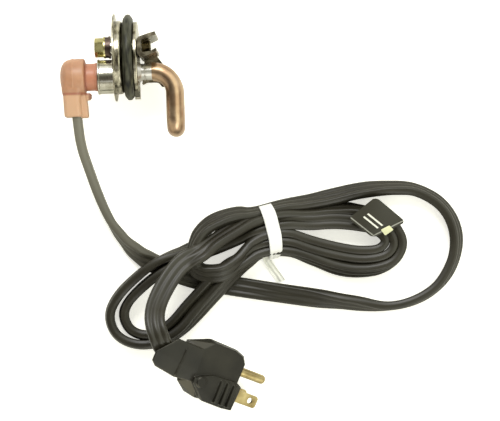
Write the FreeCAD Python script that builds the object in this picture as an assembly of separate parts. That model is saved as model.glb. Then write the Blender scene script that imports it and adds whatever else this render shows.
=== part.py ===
import FreeCAD, Part
import math
import os

os.makedirs("parts", exist_ok=True)

V = FreeCAD.Vector
X_AXIS = V(1, 0, 0)
Y_AXIS = V(0, 1, 0)
Z_AXIS = V(0, 0, 1)

# An engine block heater: a core plug with a hairpin element, and its cord set. Millimetres, +Z up.
# The plug's axis lies along X, the element side is +X, and everything lies on the floor at z = 0.
# Heater sizes are measured from the flange's inner face, along the plug's axis and out from it.

# Core plug, which closes a round hole in the block: its round sizes are steps from the hole and the ring
hole_dia = 44.45
flange_overlap = 0.175
flange_thickness = 0.9
flange_edge_radius = 0.3
flange_bore_gap = 0.05
shoulder_step = 3.2
shoulder_straight = 1.5
shoulder_length = 4.1
groove_width = 5.0
ring_width = 4.8
ring_play = 0.45
ring_depth = 5.5
ring_flank_step = 2.0
ring_ridge_width = 1.8
ring_ridge_radius = 1.4
ring_flank_radius = 0.8
back_plate_step = 3.9
back_plate_thickness = 2.3
back_plate_bevel = 0.6

# Locating foot at the plug's lower side
foot_step = 0.4
foot_height = 6.4
foot_thickness = 2.6
foot_width = 7.0
foot_corner = 1.2

# Terminal shroud, insulator and pins
shroud_dia = 17.4
shroud_wall = 0.9
shroud_length = 8.7
shroud_lip = 0.35
shroud_lip_round = 0.3
shroud_edge_round = 0.2
shroud_screw_gap = 0.15
insulator_thickness = 0.8
pin_dia = 3.0
pin_length = 7.2
pin_spacing = 7.0
ground_pin_drop = 3.8
pin_offset_up = 1.7

# Heating element: two legs side by side in height, bent to one side, joined by a U bend
tube_dia = 9.0
leg_spacing = 12.0
leg_drop = 7.75
cold_end_dia = 7.6
cold_end_length = 7.0
cold_end_groove = 0.35
solder_flare = 1.2
solder_length = 1.68
bend_radius = 11.3
arm_length = 12.0

# Clamp screw, washers and the boss that it passes through
screw_dia = 6.0
screw_rise = 5.4
screw_stickout = 17.9
head_across_flats = 8.6
head_height = 4.6
head_bevel = 0.6
head_flange_dia = 11.2
head_flange_thickness = 0.8
lock_washer_dia = 10.8
lock_washer_thickness = 1.8
lock_washer_gap = 0.8
flat_washer_dia = 11.6
flat_washer_thickness = 1.0
boss_dia = 8.6
boss_length = 1.7
screw_hole_clearance = 0.3
thread_clearance = 0.05

# Clamp bar: a channel that stands across the plug's inner side, with a saddle beside the legs.
# Its outline in plan has places from the channel's back and from the screw's axis, and corner radii.
bar_gap = 0.3
bar_length = 40.0
bar_sheet = 1.6
bar_web = 1.9
bar_upper_wall = [(0, 3.2, 2.5), (9.2, 6.2, 0), (9.6, 4.4, 0), (bar_web, 1.7, 1.2)]
bar_lower_wall = [(bar_web, -4.6, 1.5), (6.8, -3.9, 1.0), (9.6, -2.4, 0), (9.9, -4.2, 0), (5.7, -5.9, 0),
                  (2.3, -6.9, 2.0), (0, -5.4, 2.5)]
bar_ear_notch = 3.0
bar_notch_start = 6.0
saddle_gap = 0.5
# The saddle's outline has places from the channel's back and from the plug's axis.
saddle_outline = [(2.4, 0.2, 0), (8.6, 1.2, 1.0), (12.4, -3.9, 3.0), (14.0, -14.2, 0.8), (11.2, -15.2, 0.8),
                  (9.0, -12.6, 2.5), (3.4, -12.6, 2.5), (0.6, -14.0, 0.6)]

# Boot: an elbow of silicone rubber over the cord's connector
neck_clearance = 0.45
neck_end_gap = 0.3
neck_bare_length = 6.0
cap_dia = 19.4
cap_length = 13.3
cap_dome_radius = 5.0
cap_edge_radius = 1.2
tail_width = 9.8
tail_depth = 13.4
tail_length = 20.2
tail_corner = 2.2
tail_inset = 1.4
cord_exit_offset = 1.7
tail_rib_width = 3.1
tail_rib_depth = 8.0
tail_rib_step = 1.0
tab_length = 2.4
tab_height = 2.6
tab_width = 5.0
tab_place = 10.8
parting_ridge = 0.25
parting_width = 0.6
connector_wall = 0.4
connector_length = 13.0
socket_clearance = 0.1
contact_wall = 0.6
contact_length = 8.0

# Cord: three conductors side by side in a flat jacket
cord_width = 10.4
cord_thickness = 4.6
cord_edge_radius = 2.1
# Route of the free stretch, from the boot to the hank, on edge: x, y and height of its middle
lead_route = [(-32.0, -28.6, 21.6), (-30.4, -38.2, 17.6), (-26.9, -49.2, 12.4), (-22.3, -61.6, 7.9),
              (-16.1, -73.6, 5.8), (-9.7, -82.8, 5.4), (-3.6, -89.4, 5.3)]
# Hank: middle lines of its bundles of strands, width and height
run_width = 9.6
run_height = 8.0
run_route = [(-3.6, -89.4), (1.4, -94.8), (11.7, -101.2), (27.1, -107.0), (47.9, -110.8), (79.0, -116.3),
             (110.1, -120.6), (132.1, -119.2), (148.5, -111.9), (158.6, -98.5), (160.1, -82.6), (152.6, -69.4),
             (139.1, -62.6), (122.4, -60.8), (96.2, -64.9), (73.0, -71.2)]
inner_height = 14.0
inner_outline = [(71.8, -68.4), (95.7, -67.8), (113.4, -69.2), (125.7, -73.2), (132.7, -80.0), (134.6, -87.8),
                 (133.3, -95.1), (127.8, -101.6), (119.3, -106.0), (108.4, -107.9), (97.1, -105.4),
                 (82.2, -98.8), (68.8, -94.2), (67.0, -80.0)]
inner_hole = [(81.5, -83.2), (92.0, -82.4), (103.4, -82.4), (113.8, -83.5), (121.0, -87.2), (118.8, -90.4),
              (105.8, -89.8), (92.9, -86.6)]
fold_width = 10.4
fold_route = [(56.0, -77.4), (46.5, -79.2), (34.2, -83.4), (27.4, -93.4)]
fold_top = 18.3
loop_width = 11.0
loop_height = 10.4
loop_route = [(44.0, -85.0), (22.4, -92.3), (1.3, -99.4), (-11.6, -110.4), (-15.6, -121.6), (-8.6, -132.0),
              (4.4, -133.6), (15.1, -125.9), (27.0, -112.7), (40.4, -99.4), (57.0, -89.8)]
bundle_middle = (64.5, -80.1)
bundle_length = 27.0
bundle_width = 22.4
bundle_height = 13.0
bundle_turn = 12.4
# Last stretch, from the hank up into the plug's tail, and its straight run before the tail
tail_route = [(31.4, -87.6, 15.9), (19.0, -96.2, 18.0), (12.1, -104.4, 23.0), (5.6, -116.0, 31.0)]
tail_run = 11.0
tail_insertion = 1.5

# Tie, its loose end, and the flag label with its end patch
band_width = 6.5
band_thickness = 0.8
tie_end_route = [(66.2, -93.6), (66.6, -101.4), (69.8, -109.6)]
tie_end_width = 4.6
tag_corners = [(106.3, -77.0), (119.4, -67.6), (132.8, -78.7), (117.6, -86.4)]
tag_thickness = 0.8
patch_corners = [(121.6, -84.4), (128.3, -81.0), (129.6, -83.4), (124.3, -87.2)]

# Mains plug: two flat blades and a round ground pin
plug_turn = -25.0
plug_pitch = 30.0
plug_nose = (41.7, -157.6)
plug_lift = 14.2
plug_front = -0.6
plug_outline = [(-37.0, 10.4, 2.0), (-22.5, 15.6, 3.0), (-4.5, 14.6, 1.5), (plug_front, 12.6, 0),
                (plug_front, -13.4, 2.5), (-17.0, -14.6, 3.0), (-37.0, -10.0, 2.0)]
plug_body_thickness = 17.0
plug_body_bevel = 1.6
# The tail's outline: its slanting side, between the third and fourth points, takes the cord.
plug_tail_outline = [(-34.0, -9.4, 1.0), (-48.6, -9.3, 2.0), (-51.4, -7.0, 1.5), (-50.7, -0.8, 1.5),
                     (-40.6, 9.7, 2.0), (-34.0, 9.6, 1.0)]
plug_tail_thickness = 11.6
plug_tail_bevel = 1.2
grip_length = 21.0
grip_width = 14.2
grip_overhang = 0.4
grip_middle = -8.2
grip_thickness = 22.0
grip_corner = 2.0
rib_count = 4
rib_pitch = 3.6
rib_groove = 1.4
rib_depth = 0.9
rib_setback = 2.6
dimple_dia = 6.6
dimple_depth = 0.9
dimple_setback = 19.4
blade_width = 6.35
blade_thickness = 1.5
blade_length = 15.9
blade_spacing = 12.7
blade_hole_dia = 3.2
blade_hole_place = 11.7
blade_bevel = 1.0
prong_dia = 4.8
prong_length = 19.1
prong_tip_radius = 1.9
prong_offset = 11.9
prong_embed = 6.0
prong_root_step = 0.5

# Places that follow from the sizes above
flange_dia = hole_dia + 2 * flange_overlap
ring_outer_dia = hole_dia - ring_play
ring_flank_dia = ring_outer_dia - 2 * ring_flank_step
groove_dia = ring_outer_dia - 2 * ring_depth
shoulder_dia = ring_outer_dia - 2 * shoulder_step
back_plate_dia = ring_outer_dia - 2 * back_plate_step
foot_reach = ring_outer_dia / 2 - foot_step
head_corner_radius = head_across_flats / math.sqrt(3)
screw_reach = max(head_corner_radius, flat_washer_dia / 2, lock_washer_dia / 2, head_flange_dia / 2)
bar_depth = max(x for x, _, _ in bar_upper_wall + bar_lower_wall)
shroud_drop = screw_reach + shroud_screw_gap + shroud_lip + shroud_dia / 2 - screw_rise
groove_end = shoulder_length + groove_width
plate_end = groove_end + back_plate_thickness
outer_face = -flange_thickness
insulator_face = outer_face - insulator_thickness
washer_face = outer_face - boss_length
lock_face = washer_face - flat_washer_thickness
head_face = lock_face - lock_washer_thickness
head_end = head_face - head_flange_thickness - head_height
element_start = plate_end + cold_end_length
arm_x = element_start + bend_radius
elbow_y = -leg_drop - bend_radius
arm_end_y = elbow_y - arm_length
hook_tip_y = arm_end_y - leg_spacing / 2 - tube_dia / 2
leg_heights = (leg_spacing / 2, -leg_spacing / 2)
back = plate_end + bar_gap
saddle_top = -leg_spacing / 2 - tube_dia / 2 - saddle_gap
shroud_end = outer_face - shroud_length
cap_inner = shroud_end - neck_bare_length
cap_outer = cap_inner - cap_length
neck_end = insulator_face - neck_end_gap
neck_radius = shroud_dia / 2 - shroud_wall - neck_clearance
contact_radius = pin_dia / 2 + socket_clearance + contact_wall
connector_radius = math.hypot(pin_offset_up, pin_spacing / 2) + contact_radius + connector_wall
tail_x = cap_outer + tail_inset + tail_width / 2
tail_end = -shroud_drop - tail_length
pin_places = [("terminal_pin_a", pin_offset_up, pin_spacing / 2),
              ("terminal_pin_b", pin_offset_up, -pin_spacing / 2),
              ("ground_pin", -ground_pin_drop, 0.0)]

# The heater's box, without the cord set, is centred over the origin and stands on the floor.
flange_x = -(head_end + arm_x + tube_dia / 2) / 2
flange_y = -(flange_dia / 2 + hook_tip_y) / 2
flange_z = flange_dia / 2
heater_place = V(flange_x, flange_y, flange_z)


def unit(vector):
    return vector * (1.0 / vector.Length)


def corner(before, here, after, radius=None):
    """Tangent points and middle of the arc that rounds a corner, and its radius."""
    into = unit(here - before)
    out = unit(after - here)
    half_turn = into.getAngle(out) / 2
    reach = 0.45 * min((here - before).Length, (after - here).Length)
    if radius is None:
        radius = reach / math.tan(half_turn)
    else:
        reach = radius * math.tan(half_turn)
    inward = unit(out - into)
    middle = here + inward * (math.hypot(radius, reach) - radius)
    return here - into * reach, middle, here + out * reach, radius


def wire_through(points, radii=None, closed=False):
    """Straight runs joined by tangent arcs. Radii of None are as large as the runs allow."""
    count = len(points)
    radii = radii or [None] * count
    edges = []
    found = []
    start = None
    inner = range(count) if closed else range(1, count - 1)
    cursor = None if closed else points[0]
    for index in inner:
        before = points[index - 1]
        after = points[(index + 1) % count]
        if radii[index] == 0:
            enter, leave = points[index], points[index]
            arc = None
        else:
            enter, middle, leave, radius = corner(before, points[index], after, radii[index])
            arc = Part.Arc(enter, middle, leave).toShape()
            found.append(radius)
        if cursor is None:
            start = enter
        elif (enter - cursor).Length > 1e-6:
            edges.append(Part.LineSegment(cursor, enter).toShape())
        if arc:
            edges.append(arc)
        cursor = leave
    last = start if closed else points[-1]
    if (last - cursor).Length > 1e-6:
        edges.append(Part.LineSegment(cursor, last).toShape())
    return Part.Wire(edges), found


def flat_face(outline, to_space):
    """A face from (a, b, corner radius) points, placed by to_space."""
    points = [to_space(a, b) for a, b, _ in outline]
    wire, _ = wire_through(points, [radius for _, _, radius in outline], closed=True)
    return Part.Face(wire)


def revolved(outline, centre_y=0.0, centre_z=0.0):
    """Turns (x, radius, corner radius) points about a line along X."""
    face = flat_face(outline, lambda x, r: V(x, centre_y + r, centre_z))
    return face.revolve(V(0, centre_y, centre_z), X_AXIS, 360)


def rod(x_from, x_to, radius, centre_y=0.0, centre_z=0.0):
    return Part.makeCylinder(radius, x_to - x_from, V(x_from, centre_y, centre_z), X_AXIS)


def box(low, high):
    return Part.makeBox(high[0] - low[0], high[1] - low[1], high[2] - low[2], V(*low))


def prism_z(outline, low, high):
    face = flat_face(outline, lambda x, y: V(x, y, low))
    return face.extrude(V(0, 0, high - low))


def save(name, shape, place=None):
    """Writes one sub-part as a STEP file."""
    shape = shape.copy()
    if place is not None:
        shape.translate(place)
    if not shape.isValid() or shape.Volume <= 0:
        raise ValueError(name + " isn't a valid solid")
    if len(shape.Solids) == 1:
        shape = shape.Solids[0]
    shape.exportStep("parts/" + name + ".step")
    print(name, round(shape.Volume, 1), len(shape.Solids))


# Core plug

def screw_hole(x_from, x_to):
    return rod(x_from, x_to, screw_dia / 2 + screw_hole_clearance, screw_rise)


def leg_holes(x_from, x_to):
    return [rod(x_from, x_to, cold_end_dia / 2, -leg_drop, height) for height in leg_heights]


def front_flange():
    """A ring round the hub's front end. Its inner face seats on the block."""
    edge = flange_edge_radius
    radius = flange_dia / 2
    bore = shoulder_dia / 2 + flange_bore_gap
    return revolved([(outer_face, bore, 0), (outer_face, radius, edge), (0, radius, edge), (0, bore, 0)])


def screw_boss():
    boss = rod(washer_face, outer_face, boss_dia / 2, screw_rise)
    return boss.cut(screw_hole(washer_face, outer_face))


def plug_hub():
    outer = shoulder_dia / 2
    core = groove_dia / 2
    round_over = (outer - core) * 0.9
    hub = revolved([(outer_face, 0, 0), (outer_face, outer, 0), (shoulder_straight + round_over, outer, round_over),
                    (shoulder_length, core, 0), (groove_end, core, 0), (groove_end, 0, 0)])
    hub = hub.cut(screw_hole(outer_face, groove_end))
    return hub.cut(leg_holes(0, groove_end))


def o_ring():
    """A ring with steep flanks and a rounded ridge round its middle."""
    middle = (shoulder_length + groove_end) / 2
    half = ring_width / 2
    ridge = ring_ridge_width / 2
    core = groove_dia / 2
    flank = ring_flank_dia / 2
    outer = ring_outer_dia / 2
    return revolved([(middle - half, core, 0), (middle - half, flank, ring_flank_radius),
                     (middle - ridge, outer, ring_ridge_radius), (middle + ridge, outer, ring_ridge_radius),
                     (middle + half, flank, ring_flank_radius), (middle + half, core, 0)])


def foot_outline():
    low = -foot_reach
    half = foot_width / 2
    return [(low, -half, foot_corner), (low, half, foot_corner), (low + foot_height, half, 0),
            (low + foot_height, -half, 0)]


def locating_foot():
    start = groove_end + bar_gap / 2
    face = flat_face(foot_outline(), lambda y, z: V(start, y, z))
    return face.extrude(V(foot_thickness, 0, 0))


def back_plate():
    radius = back_plate_dia / 2
    bevel = back_plate_bevel
    plate = revolved([(groove_end, 0, 0), (groove_end, radius - bevel, 0), (groove_end + bevel, radius, 0),
                      (plate_end, radius, bevel), (plate_end, 0, 0)])
    plate = plate.cut(screw_hole(groove_end, plate_end))
    plate = plate.cut(leg_holes(groove_end, plate_end))
    return plate.cut(locating_foot())


# Terminals

def terminal_shroud():
    outer = shroud_dia / 2
    inner = outer - shroud_wall
    lip = outer + shroud_lip
    return revolved([(outer_face, inner, 0), (outer_face, outer, 0),
                     (shroud_end + shroud_wall + shroud_lip, outer, 0), (shroud_end + shroud_wall, lip, shroud_edge_round),
                     (shroud_end, lip, shroud_lip_round), (shroud_end, inner, shroud_edge_round)], -shroud_drop)


def terminal_insulator():
    disc = rod(insulator_face, outer_face, shroud_dia / 2 - shroud_wall, -shroud_drop)
    return disc.cut([rod(insulator_face, outer_face, pin_dia / 2, up - shroud_drop, side)
                     for _, up, side in pin_places])


def terminal_pin(up, side):
    radius = pin_dia / 2
    tip = insulator_face - pin_length
    return revolved([(outer_face, 0, 0), (outer_face, radius, 0), (tip, radius, radius * 0.8), (tip, 0, 0)],
                    up - shroud_drop, side)


# Heating element

def cold_end(height):
    radius = cold_end_dia / 2
    groove = plate_end + cold_end_length / 2
    depth = cold_end_groove
    return revolved([(0, 0, 0), (0, radius, 0), (plate_end, radius, 0), (plate_end, radius + solder_flare, 0),
                     (plate_end + solder_length, radius, 0), (groove - depth, radius, 0),
                     (groove, radius - depth, 0), (groove + depth, radius, 0), (element_start, radius, 0),
                     (element_start, 0, 0)], -leg_drop, height)


def heating_element():
    """The hairpin: leg, elbow, arm, U bend and back."""
    top, low = leg_heights
    cos45 = math.cos(math.pi / 4)
    elbow_mid = (element_start + bend_radius * cos45, elbow_y + bend_radius * cos45)

    def leg(height):
        start = V(element_start, -leg_drop, height)
        middle = V(elbow_mid[0], elbow_mid[1], height)
        end = V(arm_x, elbow_y, height)
        return start, middle, end

    upper, lower = leg(top), leg(low)
    arm_top = V(arm_x, arm_end_y, top)
    arm_low = V(arm_x, arm_end_y, low)
    edges = [Part.Arc(*upper).toShape(),
             Part.LineSegment(upper[2], arm_top).toShape(),
             Part.Arc(arm_top, V(arm_x, arm_end_y - top, 0), arm_low).toShape(),
             Part.LineSegment(arm_low, lower[2]).toShape(),
             Part.Arc(lower[2], lower[1], lower[0]).toShape()]
    section = Part.Wire([Part.makeCircle(tube_dia / 2, upper[0], X_AXIS)])
    return Part.Wire(edges).makePipeShell([section], True, False)


# Clamp screw and bar

def hexagon(radius, x_from, x_to, centre_y):
    """A six-sided bar with a flat side facing up."""
    points = [V(x_from, centre_y + radius * math.cos(math.radians(60 * step)),
                radius * math.sin(math.radians(60 * step))) for step in range(7)]
    return Part.Face(Part.makePolygon(points)).extrude(V(x_to - x_from, 0, 0))


def clamp_screw():
    shank_radius = screw_dia / 2
    bevel = screw_dia / 10
    shank = revolved([(head_face, 0, 0), (head_face, shank_radius, 0), (screw_stickout - bevel, shank_radius, 0),
                      (screw_stickout, shank_radius - bevel, 0), (screw_stickout, 0, 0)], screw_rise)
    collar = rod(head_face - head_flange_thickness, head_face, head_flange_dia / 2, screw_rise)
    head = hexagon(head_corner_radius, head_end, head_face - head_flange_thickness, screw_rise)
    chamfer = revolved([(head_end, 0, 0), (head_end, head_across_flats / 2 - head_bevel / 3, 0),
                        (head_end + head_bevel, head_across_flats, 0), (head_face, head_across_flats, 0),
                        (head_face, 0, 0)], screw_rise)
    return shank.fuse([collar, head.common(chamfer)]).removeSplitter()


def lock_washer():
    ring = rod(head_face, lock_face, lock_washer_dia / 2, screw_rise)
    ring = ring.cut(screw_hole(head_face, lock_face))
    split = box((head_face, -lock_washer_gap / 2, 0), (lock_face, lock_washer_gap / 2, lock_washer_dia))
    split.rotate(V(0, 0, 0), X_AXIS, -60)
    split.translate(V(0, screw_rise, 0))
    return ring.cut(split)


def flat_washer():
    ring = rod(lock_face, washer_face, flat_washer_dia / 2, screw_rise)
    return ring.cut(screw_hole(lock_face, washer_face))


def bar_section():
    """The channel's outline in plan, walked round."""
    return [(back + x, screw_rise + y, radius) for x, y, radius in bar_upper_wall + bar_lower_wall]


def saddle():
    """The tongue that is bent out of the channel's lower wall and lies beside the element's legs."""
    outline = [(back + x, y, radius) for x, y, radius in saddle_outline]
    return prism_z(outline, saddle_top - bar_sheet, saddle_top)


def ear_notch(end):
    """A wedge off the upper ear's end, deepest at its free edge."""
    inward = -math.copysign(bar_ear_notch, end)
    level = screw_rise + bar_upper_wall[-1][1]
    start = V(back + bar_notch_start, level, end)
    points = [start, V(back + bar_depth, level, end), V(back + bar_depth, level, end + inward), start]
    return Part.Face(Part.makePolygon(points)).extrude(V(0, bar_depth, 0))


def clamp_bar():
    half = bar_length / 2
    channel = prism_z(bar_section(), -half, half)
    wall_top = screw_rise + max(y for _, y, _ in bar_lower_wall)
    wall_low = screw_rise + min(y for _, y, _ in bar_lower_wall)
    bent_out = box((back + bar_web, wall_low, -half), (back + bar_depth, wall_top, saddle_top - bar_sheet))
    channel = channel.cut([bent_out, ear_notch(-half), ear_notch(half)])
    hole = rod(back, back + bar_depth, screw_dia / 2 + thread_clearance, screw_rise)
    return channel.fuse(saddle()).cut(hole).removeSplitter()


# Boot and connector

def boot_tail():
    half = tail_depth / 2
    left = tail_x - tail_width / 2
    right = tail_x + tail_width / 2
    outline = [(left, -half, tail_corner), (right, -half, tail_corner), (right, half, tail_corner),
               (left, half, tail_corner)]
    face = flat_face(outline, lambda x, z: V(x, -shroud_drop, z))
    body = face.extrude(V(0, -tail_length, 0))
    rib = box((tail_x, tail_end + tail_rib_step, -tail_rib_depth / 2),
              (right + tail_rib_width, -shroud_drop, tail_rib_depth / 2))
    return body.fuse(rib)


def boot():
    radius = cap_dia / 2
    cap = revolved([(cap_outer, 0, 0), (cap_outer, radius, cap_dome_radius), (cap_inner, radius, cap_edge_radius),
                    (cap_inner, 0, 0)], -shroud_drop)
    neck = rod(cap_inner, neck_end, neck_radius, -shroud_drop)
    ridge_x = tail_x + tail_width / 2 - parting_width
    ridge = rod(ridge_x, ridge_x + parting_width, radius + parting_ridge, -shroud_drop)
    tab_x = tail_x + tail_width / 2
    tab_y = -shroud_drop - tab_place
    tab = box((tab_x, tab_y - tab_height / 2, -tab_width / 2),
              (tab_x + tail_rib_width + tab_length, tab_y + tab_height / 2, tab_width / 2))
    whole = cap.fuse([neck, ridge, boot_tail(), tab])
    hollow = rod(neck_end - connector_length, neck_end, connector_radius, -shroud_drop)
    return whole.cut(hollow).removeSplitter()


def contact(up, side):
    inner = contact_radius - contact_wall
    tube = rod(neck_end - contact_length, neck_end, contact_radius, up - shroud_drop, side)
    return tube.cut(rod(neck_end - contact_length, neck_end, inner, up - shroud_drop, side))


def connector_body():
    body = rod(neck_end - connector_length, neck_end, connector_radius, -shroud_drop)
    return body.cut([rod(neck_end - contact_length, neck_end, contact_radius, up - shroud_drop, side)
                     for _, up, side in pin_places])


# Cord

def cord_section(middle, along, wide):
    """Rounded flat section across the path, its width along the given direction."""
    thin = unit(along.cross(wide))
    half_wide = cord_width / 2
    half_thin = cord_thickness / 2
    outline = [(-half_wide, -half_thin, cord_edge_radius), (half_wide, -half_thin, cord_edge_radius),
               (half_wide, half_thin, cord_edge_radius), (-half_wide, half_thin, cord_edge_radius)]
    return flat_face(outline, lambda a, b: middle + wide * a + thin * b).OuterWire


def swept_cord(name, points, upright):
    """A cord's tube along straight runs and tangent arcs. Prints its radii and checks its volume."""
    path, radii = wire_through(points)
    along = unit(points[1] - points[0])
    side = unit(along.cross(Z_AXIS))
    wide = unit(side.cross(along)) if upright else side
    section = cord_section(points[0], along, wide)
    shell = Part.BRepOffsetAPI.MakePipeShell(path)
    shell.setBiNormalMode(Z_AXIS)
    shell.add(section)
    shell.build()
    shell.makeSolid()
    solid = shell.shape()
    expected = Part.Face(section).Area * path.Length
    print(name, "radii", [round(r, 1) for r in radii], "length", round(path.Length, 1),
          "volume ratio", round(solid.Volume / expected, 4))
    return solid


def strip(route, width, low, high):
    """A bundle of strands: a band of one width along a route in plan, from one height to another."""
    points = [V(x, y, low) for x, y in route]
    path, _ = wire_through(points)
    along = unit(points[1] - points[0])
    side = along.cross(Z_AXIS) * (width / 2)
    start = points[0]
    section = Part.makePolygon([start + side, start - side, start - side + V(0, 0, high - low),
                                start + side + V(0, 0, high - low), start + side])
    return path.makePipeShell([section], True, False)


def ring(outline, hole, low, high):
    """A slab with smooth outlines and one opening."""
    faces = []
    for points in (outline, hole):
        wire, _ = wire_through([V(x, y, low) for x, y in points], closed=True)
        faces.append(Part.Face(wire))
    return faces[0].cut(faces[1]).extrude(V(0, 0, high - low))


def along_bundle(length, width, low, high):
    middle = V(bundle_middle[0], bundle_middle[1], 0)
    block = box((-length / 2, -width / 2, low), (length / 2, width / 2, high))
    block.rotate(V(0, 0, 0), Z_AXIS, bundle_turn)
    block.translate(middle)
    return block


def cord_hank():
    strands = [strip(run_route, run_width, 0, run_height),
               ring(inner_outline, inner_hole, 0, inner_height),
               strip(fold_route, fold_width, 0, fold_top),
               strip(loop_route, loop_width, 0, loop_height)]
    bundle = along_bundle(bundle_length, bundle_width, band_thickness, band_thickness + bundle_height)
    whole = bundle
    for strand in strands:
        whole = whole.fuse(strand)
    return whole.cut(tie_band())


def tie_band():
    outer = along_bundle(band_width, bundle_width + 2 * band_thickness, 0, bundle_height + 2 * band_thickness)
    inner = along_bundle(band_width, bundle_width, band_thickness, band_thickness + bundle_height)
    return outer.cut(inner)


def plate_on(corners, low, thickness):
    face = Part.Face(Part.makePolygon([V(x, y, low) for x, y in corners + corners[:1]]))
    return face.extrude(V(0, 0, thickness))


# Mains plug, drawn nose first along +X from its front face, with the blades above each other in Z

def place_plug(shape):
    shape = shape.copy()
    shape.rotate(V(0, 0, 0), Y_AXIS, plug_pitch)
    shape.rotate(V(0, 0, 0), Z_AXIS, plug_turn)
    shape.translate(V(plug_nose[0], plug_nose[1], plug_lift))
    return shape


def plug_point(forward, side, up):
    return place_plug(Part.Vertex(V(forward, side, up))).Point


def blade_places():
    middle = -prong_offset * 0.55
    return [("blade_upper", middle, blade_spacing / 2), ("blade_lower", middle, -blade_spacing / 2)]


def grip():
    half = grip_thickness / 2
    side = grip_width / 2
    outline = [(-grip_length, -side, grip_corner), (grip_overhang, -side, grip_corner),
               (grip_overhang, side, grip_corner), (-grip_length, side, grip_corner)]
    block = prism_z(outline, -half, half)
    block.translate(V(0, grip_middle, 0))
    cuts = []
    for face in (-1, 1):
        level = face * half
        for index in range(rib_count):
            x = -rib_setback - index * rib_pitch
            low = min(level, level - face * rib_depth)
            cuts.append(box((x - rib_groove / 2, grip_middle - side, low),
                            (x + rib_groove / 2, grip_middle + side, low + rib_depth)))
        floor = V(-dimple_setback, grip_middle, level - face * dimple_depth)
        cuts.append(Part.makeCylinder(dimple_dia / 2, dimple_depth, floor, V(0, 0, face)))
    return block.cut(cuts)


def plug_prong():
    """Round prong on a narrower root that the body is moulded around."""
    radius = prong_dia / 2
    root = radius - prong_root_step
    middle = blade_places()[0][1] + prong_offset
    return revolved([(-prong_embed, 0, 0), (-prong_embed, root, 0), (plug_front, root, 0), (plug_front, radius, 0),
                     (prong_length, radius, prong_tip_radius), (prong_length, 0, 0)], middle)


def blade(side, up):
    half = blade_width / 2
    outline = [(-prong_embed, -half, 0), (-prong_embed, half, 0), (blade_length - blade_bevel, half, 0),
               (blade_length, half - blade_bevel, 0), (blade_length, -half + blade_bevel, 0),
               (blade_length - blade_bevel, -half, 0)]
    flat = prism_z(outline, -blade_thickness / 2, blade_thickness / 2)
    hole = Part.makeCylinder(blade_hole_dia / 2, 2 * blade_thickness,
                             V(blade_hole_place, 0, -blade_thickness), Z_AXIS)
    flat = flat.cut(hole)
    flat.translate(V(0, side, up))
    return flat


def plug_metal():
    pieces = [("plug_ground_prong", plug_prong())]
    return pieces + [(name, blade(side, up)) for name, side, up in blade_places()]


def bevelled_slab(outline, thickness, bevel):
    """A slab of one outline with its edges bevelled above and below."""
    half = thickness / 2
    level = half - bevel
    face = flat_face(outline, lambda x, y: V(x, y, 0))
    inset = face.makeOffset2D(-bevel)
    slab = prism_z(outline, -level, level)
    for side in (-1, 1):
        wide = face.OuterWire.copy()
        wide.translate(V(0, 0, side * level))
        narrow = inset.OuterWire.copy()
        narrow.translate(V(0, 0, side * half))
        slab = slab.fuse(Part.makeLoft([wide, narrow], True, True))
    return slab.removeSplitter()


def plug_body():
    return bevelled_slab(plug_outline, plug_body_thickness, plug_body_bevel)


def plug_tail():
    return bevelled_slab(plug_tail_outline, plug_tail_thickness, plug_tail_bevel)


def write_heater():
    save("front_flange", front_flange(), heater_place)
    save("screw_boss", screw_boss(), heater_place)
    save("plug_hub", plug_hub(), heater_place)
    save("o_ring", o_ring(), heater_place)
    save("back_plate", back_plate(), heater_place)
    save("locating_foot", locating_foot(), heater_place)
    save("terminal_shroud", terminal_shroud(), heater_place)
    save("terminal_insulator", terminal_insulator(), heater_place)
    for name, up, side in pin_places:
        save(name, terminal_pin(up, side), heater_place)
    for name, height in zip(("cold_end_upper", "cold_end_lower"), leg_heights):
        save(name, cold_end(height), heater_place)
    save("heating_element", heating_element(), heater_place)
    save("clamp_screw", clamp_screw(), heater_place)
    save("lock_washer", lock_washer(), heater_place)
    save("flat_washer", flat_washer(), heater_place)
    save("clamp_bar", clamp_bar(), heater_place)


def write_connector(boot_shape):
    save("boot", boot_shape, heater_place)
    save("connector_body", connector_body(), heater_place)
    for (_, up, side), name in zip(pin_places, ("contact_a", "contact_b", "contact_ground")):
        save(name, contact(up, side), heater_place)


def tail_points():
    """From the hank's end, up and square into the tail's slanting side."""
    lower, upper = [V(x, y, 0) for x, y, _ in plug_tail_outline[3:5]]
    middle = (lower + upper) * 0.5
    outward = unit(Z_AXIS.cross(upper - lower))
    entry = middle - outward * tail_insertion
    before = middle + outward * tail_run
    return [V(*point) for point in tail_route] + [plug_point(*before), plug_point(*entry)]


def write_cord(boot_shape):
    exit_point = heater_place + V(tail_x + cord_exit_offset, tail_end, 0)
    lead = swept_cord("cord_lead", [exit_point] + [V(*point) for point in lead_route], True)
    boot_in_place = boot_shape.translated(heater_place)
    hank = cord_hank()
    tail = swept_cord("cord_tail", tail_points(), False)
    save("cord_lead", lead.cut([boot_in_place, hank]))
    save("cord_hank", hank)
    save("cord_tail", tail.cut([hank, place_plug(plug_tail())]))
    save("tie_band", tie_band())
    save("tie_end", strip(tie_end_route, tie_end_width, 0, band_thickness).cut(hank))
    save("cord_tag", plate_on(tag_corners, inner_height, tag_thickness))
    tag = plate_on(tag_corners, inner_height, tag_thickness)
    save("tag_patch", plate_on(patch_corners, inner_height, tag_thickness).cut(tag))


def write_plug():
    metal = plug_metal()
    solids = [piece for _, piece in metal]
    grip_block = grip().cut(solids)
    body = plug_body().cut([grip_block] + solids)
    tail = plug_tail().cut(body)
    save("plug_body", place_plug(body))
    save("plug_grip", place_plug(grip_block))
    save("plug_tail", place_plug(tail))
    for name, piece in metal:
        save(name, place_plug(piece))


silicone_boot = boot()
write_heater()
write_connector(silicone_boot)
write_cord(silicone_boot)
write_plug()
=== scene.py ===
import math

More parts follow.
